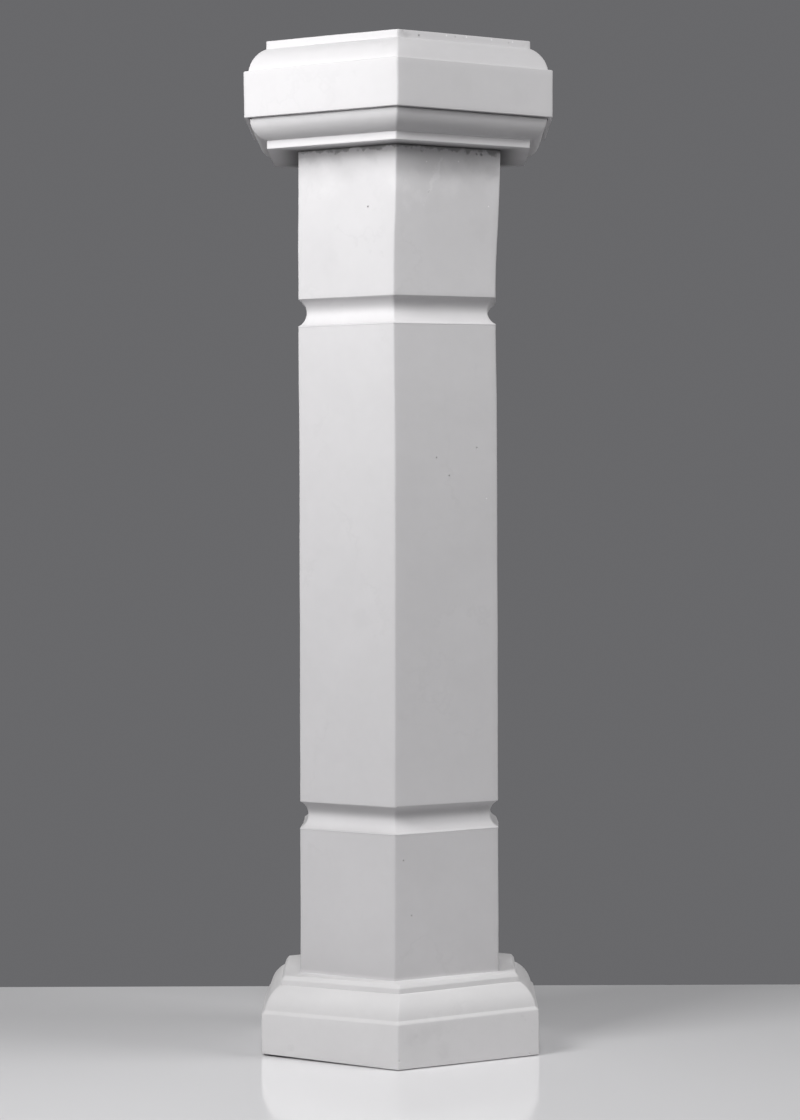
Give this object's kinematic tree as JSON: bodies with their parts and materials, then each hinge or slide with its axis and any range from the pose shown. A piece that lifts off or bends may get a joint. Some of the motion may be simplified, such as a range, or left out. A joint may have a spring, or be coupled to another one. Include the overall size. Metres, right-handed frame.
{
  "type": "hexagonal pedestal column",
  "caption": "Hexagonal white marble pedestal column: moulded base, shaft with grooves carved round it, and moulded capital with a flat top.",
  "frame": {"origin": "middle of the underside of the base, where the column stands", "axes": "+Z upright along the column; one arris of the hexagon faces -Y, give or take the small turns of the blocks"},
  "size_m": [0.3042, 0.3498, 1],
  "materials": {
    "base_marble": "rubbed matt white marble with a few faint stains",
    "shaft_marble": "rubbed matt white marble with small pits and a faint vein",
    "capital_marble": "rubbed matt white marble with small pits"
  },
  "bodies": {
    "root": {"base": "base_marble", "shaft": "shaft_marble", "capital": "capital_marble"}
  },
  "joints": []
}
